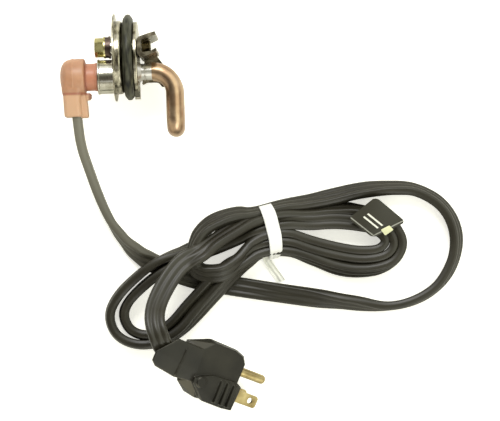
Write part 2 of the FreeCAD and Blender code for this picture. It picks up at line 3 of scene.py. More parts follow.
import bpy
import bmesh
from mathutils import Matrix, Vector


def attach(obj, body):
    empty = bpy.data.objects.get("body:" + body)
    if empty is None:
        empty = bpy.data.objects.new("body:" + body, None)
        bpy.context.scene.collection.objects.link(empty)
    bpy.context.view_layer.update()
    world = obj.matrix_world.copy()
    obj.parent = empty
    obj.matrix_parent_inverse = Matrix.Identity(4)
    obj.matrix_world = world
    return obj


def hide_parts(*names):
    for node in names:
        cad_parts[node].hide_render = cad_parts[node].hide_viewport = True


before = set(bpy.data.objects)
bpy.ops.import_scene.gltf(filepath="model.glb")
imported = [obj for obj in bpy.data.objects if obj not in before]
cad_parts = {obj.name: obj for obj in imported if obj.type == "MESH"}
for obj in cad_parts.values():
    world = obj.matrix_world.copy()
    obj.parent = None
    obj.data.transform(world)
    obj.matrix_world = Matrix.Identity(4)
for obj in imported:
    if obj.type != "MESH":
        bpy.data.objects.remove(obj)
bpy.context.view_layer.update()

MM = 0.001

# Camera: straight above the floor, turned a little; what one pixel of the picture's width covers there
CAMERA_HEIGHT = 1.1
CAMERA_PLACE = (0.0545, -0.0709)
CAMERA_TURN = math.radians(-1.8)
SENSOR = 36
PICTURE_WIDTH = 500
PIXEL = 0.000524
camera = bpy.data.objects.new("camera", bpy.data.cameras.new("camera"))
bpy.context.collection.objects.link(camera)
camera.location = (*CAMERA_PLACE, CAMERA_HEIGHT)
camera.rotation_euler = (0, 0, CAMERA_TURN)
camera.data.sensor_width = SENSOR
camera.data.lens = SENSOR * CAMERA_HEIGHT / (PIXEL * PICTURE_WIDTH)
bpy.context.scene.camera = camera


def link(name, mesh):
    """Puts a finished mesh into the scene."""
    piece = bpy.data.objects.new(name, mesh)
    bpy.context.collection.objects.link(piece)
    return piece


def finished(name, mesh):
    """The piece that the built mesh gives, with its faces outwards."""
    bmesh.ops.recalc_face_normals(mesh, faces=mesh.faces)
    data = bpy.data.meshes.new(name)
    mesh.to_mesh(data)
    mesh.free()
    return link(name, data)


# Cord: x, y and height of each control point in millimetres, and the jacket's lean in degrees
CORD_ROUTE = [
    (-32.8, -16.5, 22.4, 90), (-32.5, -23, 22.2, 90), (-31.4, -35.5, 18.2, 90), (-27.8, -48, 12.6, 90),
    (-24.3, -59.6, 8.6, 90), (-19.2, -72.8, 5.8, 88), (-12.6, -83.3, 5.2, 74), (-5.4, -91.2, 4.9, 50),
    (3.4, -97.2, 3.5, 18), (14, -102, 2.6, 3), (27.1, -106.8, 2.3, 0), (47.9, -110.8, 2.3, 0),
    (79, -116.3, 3.6, 20), (105, -120.4, 5.1, 58), (127.6, -124.2, 5.2, 86), (148, -117.2, 5.2, 80),
    (159.6, -103, 5.1, 70), (162.7, -86, 5.1, 64), (156, -71, 5.1, 68), (142.1, -62.4, 5.1, 70),
    (130.5, -61.2, 5.1, 64), (113.3, -61.8, 5, 54), (96.5, -65.4, 4.9, 50), (83.3, -67.9, 5, 58),
    (71.3, -69, 5.9, 66), (55.8, -73.2, 8, 66), (47.7, -72.2, 10.2, 58), (35.7, -75.7, 13, 52),
    (28.3, -81.2, 14.2, 60), (24.7, -88.6, 13.8, 70), (23.4, -96.8, 13.3, 62), (27.1, -101.9, 13, 45),
    (34.4, -103.4, 14.2, 35), (42.2, -101.8, 14.2, 40), (50.2, -94.9, 10.6, 62), (56.6, -85.9, 7.6, 80),
    (72.8, -82.4, 6.4, 84), (85.3, -87.5, 5.4, 86), (103.4, -92.5, 5.2, 86), (112.9, -93.7, 5.2, 88),
    (121.6, -93.2, 5.2, 88), (125.6, -88.6, 5.2, 88), (120, -83, 5.2, 90), (109.5, -80.9, 5.2, 90),
    (98.6, -79.3, 5.2, 88), (84.5, -79.9, 5.4, 86), (72.2, -78, 7.4, 80), (56.6, -81.6, 7.2, 80),
    (47.3, -86, 6.2, 75), (35.2, -90.1, 5.6, 70), (25.7, -93.2, 6.6, 70), (17.9, -96, 9.4, 80),
    (8.2, -100.8, 10.6, 84), (-1, -107.3, 8.4, 82), (-9.9, -115.4, 5.4, 84), (-13.8, -123, 5.2, 80),
    (-10, -132, 5.2, 80), (-0.2, -135.2, 5.2, 80), (11, -130.2, 5.2, 74), (23.4, -117.6, 6.4, 60),
    (33.4, -107.6, 9, 58), (41.2, -99.9, 9, 62), (50.1, -94.9, 8, 74), (57.6, -88.6, 5.8, 84),
    (73.6, -87.2, 6, 84), (85.6, -92.3, 5.3, 84), (103.3, -97.5, 5.2, 80), (116, -98.9, 5.2, 80),
    (126.8, -96.2, 5.2, 84), (130.2, -88.8, 5.2, 86), (123.8, -80.2, 5.2, 88), (110.6, -77, 5.2, 84),
    (98.8, -75.1, 5.2, 82), (84.6, -76.3, 5.4, 82), (71.5, -74.5, 5.8, 78), (56, -78.5, 5.4, 78),
    (47.4, -82.4, 5.2, 72), (35.3, -85.9, 5.1, 60), (25.8, -89.3, 5.6, 62), (17.5, -91.8, 9.4, 78),
    (6, -95.3, 11.6, 90), (-5.4, -103.2, 9, 84), (-16.4, -113.4, 5.4, 82), (-21.5, -124, 5.2, 82),
    (-16.6, -135.7, 5.2, 82), (-2.4, -140.4, 5.2, 82), (14.4, -134.9, 5.2, 74), (27.5, -121, 5.8, 60),
    (37.2, -110.9, 7.4, 58), (45.2, -102.9, 8.8, 62), (52.2, -98.2, 7.4, 74), (59.6, -92.8, 5.6, 84),
    (74.4, -92.2, 5.2, 80), (86.4, -97, 5.1, 68), (101.4, -103.4, 5.1, 60), (117.8, -104.4, 5.1, 68),
    (130.2, -99.8, 5.2, 84), (134.9, -89.2, 5.2, 88), (128.2, -77.8, 5.2, 84), (112, -72.6, 5.1, 70),
    (98.9, -71, 5.2, 56), (84.7, -72.4, 5.6, 58), (70.7, -71.3, 7.6, 60), (55.3, -75.4, 10.6, 58),
    (46, -80.2, 14.4, 50), (35.5, -86.5, 17.8, 52), (28, -92.4, 20, 30), (19, -96, 21, 4),
    (11.6, -104.9, 24.5, 0), (5.3, -116.5, 31, 0), (4.1, -125, 37.5, 0), (6.6, -133.5, 40.2, 0),
    (8.4, -139, 36.6, 0), (11.5, -143.2, 33.2, 0),
]
CORD_WIDTH = 10.4
CORD_THICKNESS = 4.6
# Section of the jacket: points from edge to edge, how far its three ridges run into each other, the share of
# the thickness in the grooves between them, and how soon the edges reach it
CORD_STEPS = 27
RIDGE_SPREAD = 1.1
GROOVE_SHARE = 0.42
EDGE_FULLNESS = 2.2
CURVE_STEPS = 10
# The jacket's own coordinate runs from 0 to 1 over each such length, in metres
CORD_SPAN = 0.1


def route_points():
    """The points that the cord's spline gives, read as a plain mesh."""
    data = bpy.data.curves.new("cord_route", "CURVE")
    data.dimensions = "3D"
    data.resolution_u = CURVE_STEPS
    spline = data.splines.new("NURBS")
    spline.points.add(len(CORD_ROUTE) - 1)
    for point, (x, y, z, _) in zip(spline.points, CORD_ROUTE):
        point.co = (x * MM, y * MM, z * MM, 1)
    spline.order_u = 3
    spline.use_endpoint_u = True
    line = bpy.data.objects.new("cord_route", data)
    mesh = bpy.data.meshes.new_from_object(line)
    points = [vertex.co.copy() for vertex in mesh.vertices]
    bpy.data.objects.remove(line)
    bpy.data.meshes.remove(mesh)
    return points


def lean_at(share):
    """Lean along the route, from each control point's own place on the spline."""
    last = len(CORD_ROUTE) - 2
    place = share * last
    stops = [0.0] + [index + 0.5 for index in range(last)] + [float(last)]
    for index in range(len(stops) - 1):
        if place <= stops[index + 1]:
            span = stops[index + 1] - stops[index]
            t = (place - stops[index]) / span
            t = t * t * (3 - 2 * t)
            return CORD_ROUTE[index][3] * (1 - t) + CORD_ROUTE[index + 1][3] * t
    return CORD_ROUTE[-1][3]


def cord_profile():
    """Three ridges side by side: points of the flat section, across and through it, in millimetres."""
    half = CORD_WIDTH / 2
    lobe = half / 3
    points = []
    for side in (1, -1):
        for step in range(1, CORD_STEPS):
            across = half * math.cos(math.pi * step / CORD_STEPS)
            from_ridge = (across + half) % (2 * lobe) - lobe
            ridge = math.sqrt(max(0.0, 1 - (from_ridge / (lobe * RIDGE_SPREAD)) ** 2))
            edge = min(1.0, math.sqrt(max(0.0, 1 - (abs(across) / half) ** 2)) * EDGE_FULLNESS)
            through = CORD_THICKNESS / 2 * (GROOVE_SHARE + (1 - GROOVE_SHARE) * ridge) * edge
            points.append((side * across, side * through))
        points.append((-side * half, 0.0))
    return points


def cord_tube():
    """The jacket along its route, each section leaning as the route says."""
    centres = route_points()
    profile = cord_profile()
    count = len(profile)
    mesh = bmesh.new()
    along_layer = mesh.loops.layers.uv.new("cord")
    grid = []
    run = 0.0
    runs = []
    for index, centre in enumerate(centres):
        before = centres[max(0, index - 1)]
        after = centres[min(len(centres) - 1, index + 1)]
        forward = (after - before).normalized()
        left = Vector((0, 0, 1)).cross(forward).normalized()
        up = forward.cross(left)
        lean = math.radians(lean_at(index / (len(centres) - 1)))
        wide = left * math.cos(lean) + up * math.sin(lean)
        thin = forward.cross(wide)
        row = [mesh.verts.new(centre + wide * (a * MM) + thin * (b * MM)) for a, b in profile]
        if index:
            run += (centre - centres[index - 1]).length
        runs.append(run)
        grid.append(row)
    for i in range(len(grid) - 1):
        for j in range(count):
            k = (j + 1) % count
            face = mesh.faces.new((grid[i][j], grid[i + 1][j], grid[i + 1][k], grid[i][k]))
            places = ((i, j), (i + 1, j), (i + 1, j + 1), (i, j + 1))
            for loop, (row, column) in zip(face.loops, places):
                loop[along_layer].uv = (runs[row] / CORD_SPAN, column / count)
            face.smooth = True
    for row in (grid[0], grid[-1]):
        mesh.faces.new(row)
    return finished("cord", mesh), centres


cord, cord_line = cord_tube()
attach(cord, "cord_set")
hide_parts("cord_lead", "cord_hank", "cord_tail")


# Soft pieces: closed shells that overlap, skinned as one moulding

def closed_loft(mesh, rings):
    """A skin over rings of points, closed at both ends."""
    rows = [[mesh.verts.new(point) for point in ring] for ring in rings]
    count = len(rows[0])
    for near, far in zip(rows, rows[1:]):
        for j in range(count):
            k = (j + 1) % count
            mesh.faces.new((near[j], near[k], far[k], far[j]))
    mesh.faces.new(rows[0])
    mesh.faces.new(rows[-1][::-1])


def turned(mesh, profile, centre, steps=72):
    """A shell of (x, radius) points turned about a line along X."""
    rings = []
    for x, radius in profile:
        ring = []
        for step in range(steps):
            angle = 2 * math.pi * step / steps
            across, up = radius * math.cos(angle), radius * math.sin(angle)
            ring.append(Vector((x, centre[0] + across, centre[1] + up)) * MM)
        rings.append(ring)
    closed_loft(mesh, rings)


def rounded_ring(left, right, low, high, radius, y, steps=6):
    """Points round a rectangle with rounded corners, across Y."""
    points = []
    corners = ((right - radius, high - radius, 0), (left + radius, high - radius, 90),
               (left + radius, low + radius, 180), (right - radius, low + radius, 270))
    for x, z, start in corners:
        for step in range(steps + 1):
            angle = math.radians(start + 90 * step / steps)
            points.append(Vector((x + radius * math.cos(angle), y, z + radius * math.sin(angle))) * MM)
    return points


def moulded(name, mesh, grain, passes):
    """Joins the shells into one smooth skin and keeps it as a plain mesh."""
    piece = finished(name, mesh)
    skin = piece.modifiers.new("skin", "REMESH")
    skin.mode = "VOXEL"
    skin.voxel_size = grain * MM
    skin.use_smooth_shade = True
    soften = piece.modifiers.new("soften", "SMOOTH")
    soften.factor = 0.5
    soften.iterations = passes
    whole = bpy.data.meshes.new_from_object(piece.evaluated_get(bpy.context.evaluated_depsgraph_get()))
    piece.modifiers.clear()
    piece.data = whole
    return piece


# Elbow boot: the line of its cap and neck, as y and height, and their outlines as x and radius
BOOT_AXIS = (-0.025, 22.4)
BOOT_CAP = [(-40.6, 2.0), (-40.4, 4.2), (-39.8, 6.2), (-38.7, 7.9), (-37.2, 9.0), (-35.0, 9.6), (-34.4, 9.65),
            (-34.1, 9.95), (-33.7, 9.65), (-29.2, 9.75), (-28.4, 9.6), (-27.9, 9.1), (-27.6, 8.0), (-27.4, 6.0)]
BOOT_NECK = [(-30.0, 7.0), (-22.6, 7.0), (-22.3, 7.35), (-21.9, 7.35), (-21.6, 7.1), (-13.8, 7.1), (-13.7, 6.6),
             (-26.6, 6.55), (-26.7, 2.0)]
# Sections of the tail, its rib and its tab: y, left, right, half the depth and corner radius
BOOT_TAIL = [(-2.0, -39.9, -28.2, 8.8, 3.6), (-6.5, -39.9, -28.6, 7.9, 3.4), (-8.2, -39.6, -29.6, 7.0, 2.6),
             (-9.6, -39.2, -30.2, 6.6, 2.2), (-14.0, -39.1, -30.1, 6.5, 2.2), (-19.6, -38.8, -29.7, 6.3, 2.2),
             (-20.3, -38.4, -30.1, 5.9, 2.0)]
BOOT_RIB = [(-4.0, -31.5, -28.6, 3.4, 0.8), (-9.8, -31.5, -27.6, 3.6, 0.9), (-14.0, -31.5, -26.9, 3.7, 0.9),
            (-20.2, -31.5, -26.6, 3.8, 0.9), (-20.8, -31.5, -27.2, 3.4, 0.8)]
BOOT_TAB = [(-8.2, -30.0, -25.6, 2.0, 0.7), (-9.0, -30.0, -24.8, 2.4, 0.8), (-10.8, -30.0, -24.9, 2.4, 0.8),
            (-11.8, -30.0, -25.8, 2.0, 0.7)]


def boot_piece():
    """The elbow's moulding: cap, neck, tail, rib and tab, as one skin."""
    mesh = bmesh.new()
    turned(mesh, BOOT_CAP, BOOT_AXIS)
    turned(mesh, BOOT_NECK, BOOT_AXIS)
    for sections in (BOOT_TAIL, BOOT_RIB, BOOT_TAB):
        closed_loft(mesh, [rounded_ring(left, right, BOOT_AXIS[1] - half, BOOT_AXIS[1] + half, corner, y)
                           for y, left, right, half, corner in sections])
    return moulded("elbow_boot", mesh, grain=0.3, passes=3)


elbow_boot = boot_piece()
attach(elbow_boot, "cord_set")
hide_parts("boot")


# Tie band round the bundle: across the bundle, height, and the band's left and right edges along it
BUNDLE_MIDDLE = (64.5, -80.1)
BUNDLE_TURN = math.radians(12.4)
BAND_LOOP = [(11.9, 7.0, -2.9, 3.7), (11.2, 10.6, -2.7, 3.9), (9.4, 13.6, -2.4, 4.4), (7.2, 15.3, -2.2, 4.8),
             (4.6, 15.2, -2.0, 5.0), (2.0, 14.4, -2.0, 5.0), (-0.4, 13.8, -2.0, 5.0), (-2.8, 13.5, -2.0, 5.0),
             (-5.0, 13.4, -2.0, 4.9), (-6.7, 13.3, -2.1, 4.7), (-9.1, 13.0, -2.4, 4.3), (-11.2, 12.3, -2.7, 3.9),
             (-13.1, 11.0, -3.1, 3.4), (-14.7, 8.8, -3.8, 2.4), (-16.2, 6.0, -4.5, 1.4), (-16.2, 3.4, -4.2, 1.0),
             (-14.0, 0.9, -3.4, 1.8), (-9.0, 0.35, -2.8, 3.4), (0.0, 0.3, -2.6, 4.0), (9.0, 0.35, -2.8, 3.8),
             (11.6, 1.2, -2.9, 3.7), (12.1, 3.8, -2.9, 3.7)]
BAND_THICKNESS = 0.5
BAND_COLUMNS = 10
# Folds where the band is gathered, beside the bundle: their middle, lowest height, reach, depth and how many
# half waves they make over the band's width
GATHER_MIDDLE = -15.0
GATHER_LOWEST = 2
GATHER_REACH = 2.6
GATHER_DEPTH = 0.35
GATHER_WAVES = 6


def on_bundle(along, across, height):
    """A place on the tied bundle, which lies turned on the floor."""
    turn_cos, turn_sin = math.cos(BUNDLE_TURN), math.sin(BUNDLE_TURN)
    return Vector((BUNDLE_MIDDLE[0] + along * turn_cos - across * turn_sin,
                   BUNDLE_MIDDLE[1] + along * turn_sin + across * turn_cos, height)) * MM


def smooth_loop(rows, steps):
    """More rows between the given ones, on a curve through them that closes on itself."""
    count = len(rows)
    dense = []
    for index in range(count):
        a, b, c, d = (rows[(index + offset) % count] for offset in (-1, 0, 1, 2))
        for step in range(steps):
            t = step / steps
            dense.append([0.5 * (2 * q + (r - p) * t + (2 * p - 5 * q + 4 * r - s) * t * t
                                 + (3 * q - p - 3 * r + s) * t * t * t) for p, q, r, s in zip(a, b, c, d)])
    return dense


def band_piece():
    """A closed strip of film round the bundle, gathered at one side."""
    mesh = bmesh.new()
    rows = smooth_loop(BAND_LOOP, steps=4)
    count = len(rows)
    grid = []
    for index, (across, height, left, right) in enumerate(rows):
        before, after = rows[index - 1], rows[(index + 1) % count]
        out = Vector((after[1] - before[1], before[0] - after[0])).normalized()
        gather = max(0.0, 1 - abs(across - GATHER_MIDDLE) / GATHER_REACH) if height > GATHER_LOWEST else 0.0
        line = []
        for column in range(BAND_COLUMNS + 1):
            share = column / BAND_COLUMNS
            fold = GATHER_DEPTH * gather * math.cos(share * math.pi * GATHER_WAVES)
            along = left + (right - left) * share
            line.append([on_bundle(along, across - out.x * (depth + fold), height - out.y * (depth + fold))
                         for depth in (0, BAND_THICKNESS)])
        grid.append(line)
    outer = [[mesh.verts.new(pair[1]) for pair in line] for line in grid]
    inner = [[mesh.verts.new(pair[0]) for pair in line] for line in grid]
    for i in range(count):
        n = (i + 1) % count
        for j in range(BAND_COLUMNS):
            mesh.faces.new((outer[i][j], outer[n][j], outer[n][j + 1], outer[i][j + 1]))
            mesh.faces.new((inner[i][j], inner[i][j + 1], inner[n][j + 1], inner[n][j]))
        mesh.faces.new((outer[i][0], inner[i][0], inner[n][0], outer[n][0]))
        mesh.faces.new((outer[i][-1], outer[n][-1], inner[n][-1], inner[i][-1]))
    for face in mesh.faces:
        face.smooth = True
    return finished("bundle_band", mesh)


bundle_band = band_piece()
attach(bundle_band, "cord_set")
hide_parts("tie_band")

# Loose end of the tie: x, y and height of its left and right edges
BAND_TAIL = [((61.2, -94.6, 5.6), (65.0, -94.8, 5.4)), ((60.4, -96.0, 3.6), (65.4, -96.0, 3.4)),
             ((60.6, -97.6, 2.0), (65.0, -97.6, 1.9)), ((63.2, -102.2, 1.1), (67.6, -101.4, 1.1)),
             ((66.0, -106.4, 0.9), (70.4, -105.2, 0.9)), ((67.6, -109.0, 0.7), (71.9, -107.7, 0.7))]
BAND_TAIL_THICKNESS = 0.25
BAND_TAIL_COLUMNS = 12
CREASE_DEPTH = 0.2
CREASE_WAVES = 4


def band_tail_piece():
    """A creased ribbon of thin film."""
    mesh = bmesh.new()
    rings = []
    for left, right in BAND_TAIL:
        left, right = Vector(left), Vector(right)
        upper = []
        for column in range(BAND_TAIL_COLUMNS + 1):
            share = column / BAND_TAIL_COLUMNS
            crease = CREASE_DEPTH * math.cos(share * math.pi * CREASE_WAVES)
            upper.append((left.lerp(right, share) + Vector((0, 0, crease))) * MM)
        lower = [point - Vector((0, 0, BAND_TAIL_THICKNESS * MM)) for point in reversed(upper)]
        rings.append(upper + lower)
    closed_loft(mesh, rings)
    return finished("band_tail", mesh)


band_tail = band_tail_piece()
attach(band_tail, "cord_set")
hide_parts("tie_end")


# Mains plug: corners of its blocks as forward, sideways and up from the middle of its nose
PLUG_NOSE = Vector((41.7, -157.6, 14.2))
PLUG_TURN = math.radians(-25)
PLUG_PITCH = math.radians(30)
PLUG_BODY = [(-26.2, 9.9, 8.5), (-20.6, 15.1, 8.5), (-8.5, 15.0, 8.5), (-3.6, 13.6, 8.5), (-0.3, 10.0, 8.5),
             (-0.3, -1.0, 8.5), (-25.1, -7.0, 8.5), (-34.4, 11.2, 2), (-21.7, 15.9, 2), (-4.6, 15.4, 2),
             (1.0, 13.6, 2), (1.8, 8.6, 2), (1.8, -3.0, 2), (-18.1, -15.2, 4), (-31.2, -9.8, 3.4),
             (-10.5, -15.4, -1), (-22.6, -14.4, -1), (-27.0, 10.4, -7.5), (-16.0, 14.0, -8), (-3.0, 13.4, -8),
             (1.0, 10.0, -8), (1.0, -11.0, -8), (-12.0, -13.6, -8), (-26.0, -9.0, -7)]
PLUG_TAIL = [(-49.4, -4.7, 4), (-49.4, 0.5, 4.6), (-40.6, 10.4, 5.5), (-36.6, 10.4, 7.0), (-26.2, 9.9, 8.5),
             (-25.1, -1.5, 8.5), (-25.2, -7.6, 7.5), (-35.2, -8.7, 6.0), (-46.6, -7.0, 4), (-44.2, -5.0, -5),
             (-44.4, 0.4, -5), (-36.0, 9.0, -5.6), (-25.0, 9.0, -6), (-25.0, -8.0, -6), (-42.0, -7.0, -5)]
PLUG_GRIP = [(-25.9, -5.0, 10.4), (-22.9, -3.2, 10.4), (-15.9, -0.4, 10.4), (-1.2, 0.0, 10.4), (2.6, -1.4, 8.8),
             (2.8, -4.6, 8.6), (2.4, -14.6, 8.6), (-4.1, -15.2, 9.2), (-16.3, -15.0, 9.2), (-25.8, -7.6, 10.2),
             (-22.0, -5.2, -10), (-13.9, -0.6, -10), (0.8, -0.6, -10), (2.4, -4.6, -10), (2.0, -13.8, -10),
             (-14.3, -14.4, -9.6), (-21.8, -8.6, -10)]
SEAM_BEAD = [(-35.3, 7.2, 6.4), (-35.3, -7.8, 5.4), (-34.7, 7.2, 6.4), (-34.7, -7.8, 5.4),
             (-35.2, 7.0, 7.8), (-35.2, -7.6, 6.7), (-34.8, 7.0, 7.8), (-34.8, -7.6, 6.7)]
# Ribs across the grip: where each starts, its outline from there, and its heights above and below
RIB_STARTS = (-11.3, -7.3, -3.3)
RIB_OUTLINE = ((0.2, -1.4), (2.0, -1.2), (2.8, -13.4), (0.8, -13.6))
RIB_HEIGHTS = ((9.0, 11.5), (-11.0, -9.6))
# Round thumb rest behind the ribs
THUMB_MIDDLE = (-21.2, -6.0)
THUMB_RADIUS = 2.7
THUMB_HEIGHTS = (9.4, 11.1)
THUMB_STEPS = 32


def on_plug(forward, side, up):
    """A place on the plug, which is tipped nose down and turned."""
    x = forward * math.cos(PLUG_PITCH) + up * math.sin(PLUG_PITCH)
    z = up * math.cos(PLUG_PITCH) - forward * math.sin(PLUG_PITCH)
    return (PLUG_NOSE + Vector((x * math.cos(PLUG_TURN) - side * math.sin(PLUG_TURN),
                                x * math.sin(PLUG_TURN) + side * math.cos(PLUG_TURN), z))) * MM


def block(mesh, corners):
    """The closed shell round a set of corners."""
    spots = [mesh.verts.new(on_plug(*corner)) for corner in corners]
    made = bmesh.ops.convex_hull(mesh, input=spots)
    inside = [item for item in made["geom_interior"] if isinstance(item, bmesh.types.BMVert)]
    bmesh.ops.delete(mesh, geom=inside, context="VERTS")


def plug_piece():
    """The plug's moulding: body, tail, ribbed grip and the seam's bead, as one skin."""
    mesh = bmesh.new()
    for corners in (PLUG_BODY, PLUG_TAIL, PLUG_GRIP, SEAM_BEAD):
        block(mesh, corners)
    for start in RIB_STARTS:
        for heights in RIB_HEIGHTS:
            block(mesh, [(start + step, side, up) for up in heights for step, side in RIB_OUTLINE])
    forward, side = THUMB_MIDDLE
    ring = [2 * math.pi * step / THUMB_STEPS for step in range(THUMB_STEPS)]
    block(mesh, [(forward + THUMB_RADIUS * math.cos(angle), side + THUMB_RADIUS * math.sin(angle), up)
                 for up in THUMB_HEIGHTS for angle in ring])
    return moulded("mains_plug", mesh, grain=0.33, passes=2)


mains_plug = plug_piece()
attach(mains_plug, "cord_set")
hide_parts("plug_body", "plug_grip", "plug_tail")


# Flag label and its patch: x, y and height of each corner, in millimetres
TAG_CORNERS = [(105.2, -76.7, 14.4), (119.7, -65.8, 14.4), (135.2, -79.4, 12.4), (117.7, -87.1, 12.4)]
PATCH_CORNERS = [(121.8, -83.0, 13.4), (126.4, -80.8, 13.4), (128.5, -83.2, 12.9), (124.1, -86.1, 12.9)]
FILM_THICKNESS = 0.3
FILM_DOME = 0.5
FILM_STEPS = 24
# How much a film's corners are pulled in, and where along the diagonal that starts
CORNER_PULL = 0.4
CORNER_START = 1.8


def film_piece(name, corners):
    """A thin sheet, a little domed, with rounded corners and its own flat coordinates."""
    mesh = bmesh.new()
    sheet = mesh.loops.layers.uv.new("film")
    steps = FILM_STEPS
    a, b, c, d = (Vector(corner) for corner in corners)
    rows = []
    for i in range(steps + 1):
        row = []
        for j in range(steps + 1):
            u, v = i / steps, j / steps
            across, along = abs(2 * u - 1), abs(2 * v - 1)
            pull = 1 - CORNER_PULL * max(0.0, across + along - CORNER_START)
            u, v = 0.5 + (u - 0.5) * pull, 0.5 + (v - 0.5) * pull
            spot = a.lerp(b, u).lerp(d.lerp(c, u), v)
            spot.z += FILM_DOME * (1 - (2 * u - 1) ** 2) * (1 - (2 * v - 1) ** 2)
            row.append((spot * MM, (u, v)))
        rows.append(row)
    drop = Vector((0, 0, FILM_THICKNESS * MM))
    top = [[mesh.verts.new(spot) for spot, _ in row] for row in rows]
    base = [[mesh.verts.new(spot - drop) for spot, _ in row] for row in rows]
    for i in range(steps):
        for j in range(steps):
            face = mesh.faces.new((top[i][j], top[i + 1][j], top[i + 1][j + 1], top[i][j + 1]))
            for loop, (m, n) in zip(face.loops, ((i, j), (i + 1, j), (i + 1, j + 1), (i, j + 1))):
                loop[sheet].uv = rows[m][n][1]
            mesh.faces.new((base[i][j], base[i][j + 1], base[i + 1][j + 1], base[i + 1][j]))
    rim = [(i, 0) for i in range(steps)] + [(steps, j) for j in range(steps)]
    rim += [(i, steps) for i in range(steps, 0, -1)] + [(0, j) for j in range(steps, 0, -1)]
    for (i, j), (m, n) in zip(rim, rim[1:] + rim[:1]):
        mesh.faces.new((top[i][j], base[i][j], base[m][n], top[m][n]))
    return finished(name, mesh)


flag_film = film_piece("flag_film", TAG_CORNERS)
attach(flag_film, "cord_set")
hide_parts("cord_tag")
flag_patch = film_piece("flag_patch", PATCH_CORNERS)
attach(flag_patch, "cord_set")
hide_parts("tag_patch")


# Materials: how much finer the grain is than the clouds in the colour, and its height in metres
GRAIN_FINENESS = 20
GRAIN_HEIGHT = 0.0002


def new_material(name):
    """An empty finish and its shader."""
    material = bpy.data.materials.new(name)
    material.use_nodes = True
    nodes = material.node_tree.nodes
    nodes.clear()
    shader = nodes.new("ShaderNodeBsdfPrincipled")
    output = nodes.new("ShaderNodeOutputMaterial")
    material.node_tree.links.new(shader.outputs["BSDF"], output.inputs["Surface"])
    return material, shader


def coloured(tree, value, stops, held=False):
    """The colour that a row of places and colours gives for a value; held keeps each until the next place."""
    ramp = tree.nodes.new("ShaderNodeValToRGB")
    if held:
        ramp.color_ramp.interpolation = "CONSTANT"
    marks = ramp.color_ramp.elements
    for index, (place, colour) in enumerate(stops):
        mark = marks[index] if index < 2 else marks.new(place)
        mark.position = place
        mark.color = (*colour, 1)
    tree.links.new(value, ramp.inputs["Fac"])
    return ramp.outputs["Color"]


def worked_out(tree, operation, *values):
    """The result of one operation on values, each a socket or a plain number."""
    step = tree.nodes.new("ShaderNodeMath")
    step.operation = operation
    for socket, value in zip(step.inputs, values):
        if isinstance(value, bpy.types.NodeSocket):
            tree.links.new(value, socket)
        else:
            socket.default_value = value
    return step.outputs[0]


def axes_of(tree, coordinate):
    """The three parts of a coordinate: Object, Normal, Generated or the name of the mesh's own one."""
    if coordinate in ("Object", "Normal", "Generated"):
        where = tree.nodes.new("ShaderNodeTexCoord").outputs[coordinate]
    else:
        own = tree.nodes.new("ShaderNodeUVMap")
        own.uv_map = coordinate
        where = own.outputs["UV"]
    parts = tree.nodes.new("ShaderNodeSeparateXYZ")
    tree.links.new(where, parts.inputs[0])
    return parts.outputs


def noisy(name, dark, light, scale=60.0, rough=(0.4, 0.6), metal=0.0, bump=0.05, stretch=(1, 1, 1),
          shine=0.5):
    """A finish whose colour and gloss vary over the piece, with a fine grain."""
    material, shader = new_material(name)
    tree = material.node_tree
    where = tree.nodes.new("ShaderNodeTexCoord")
    noise = tree.nodes.new("ShaderNodeTexNoise")
    noise.inputs["Scale"].default_value = scale
    noise.inputs["Detail"].default_value = 6
    drawn = tree.nodes.new("ShaderNodeMapping")
    drawn.inputs["Scale"].default_value = stretch
    tree.links.new(where.outputs["Object"], drawn.inputs["Vector"])
    tree.links.new(drawn.outputs["Vector"], noise.inputs["Vector"])
    cloudy = coloured(tree, noise.outputs["Fac"], [(0.3, dark), (0.7, light)])
    tree.links.new(cloudy, shader.inputs["Base Color"])
    spread = tree.nodes.new("ShaderNodeMapRange")
    spread.inputs["To Min"].default_value = rough[0]
    spread.inputs["To Max"].default_value = rough[1]
    tree.links.new(noise.outputs["Fac"], spread.inputs["Value"])
    tree.links.new(spread.outputs["Result"], shader.inputs["Roughness"])
    if bump:
        grain = tree.nodes.new("ShaderNodeTexNoise")
        grain.inputs["Scale"].default_value = scale * GRAIN_FINENESS
        tree.links.new(where.outputs["Object"], grain.inputs["Vector"])
        lift = tree.nodes.new("ShaderNodeBump")
        lift.inputs["Strength"].default_value = bump
        lift.inputs["Distance"].default_value = GRAIN_HEIGHT
        tree.links.new(grain.outputs["Fac"], lift.inputs["Height"])
        tree.links.new(lift.outputs["Normal"], shader.inputs["Normal"])
    shader.inputs["Metallic"].default_value = metal
    shader.inputs["Specular IOR Level"].default_value = shine
    return material


def paint(piece, material):
    piece.data.materials.clear()
    piece.data.materials.append(material)


def tinted(tree, base, share, tint):
    """The base colour going over to the tint where the share grows to one."""
    blend = tree.nodes.new("ShaderNodeMix")
    blend.data_type = "RGBA"
    factor, first, second = [socket for socket in blend.inputs if socket.enabled]
    tree.links.new(share, factor)
    tree.links.new(base, first)
    second.default_value = (*tint, 1)
    return next(socket for socket in blend.outputs if socket.enabled)


def base_of(material):
    """The shader of a finish made so far, and the colour that it gets."""
    shader = next(node for node in material.node_tree.nodes if node.type == "BSDF_PRINCIPLED")
    return shader, shader.inputs["Base Color"].links[0].from_socket


def growing(tree, value, start, end, most):
    """A share that grows from nothing at the start to the most at the end."""
    share = tree.nodes.new("ShaderNodeMapRange")
    share.inputs["From Min"].default_value = start
    share.inputs["From Max"].default_value = end
    share.inputs["To Max"].default_value = most
    tree.links.new(value, share.inputs["Value"])
    return share.outputs["Result"]


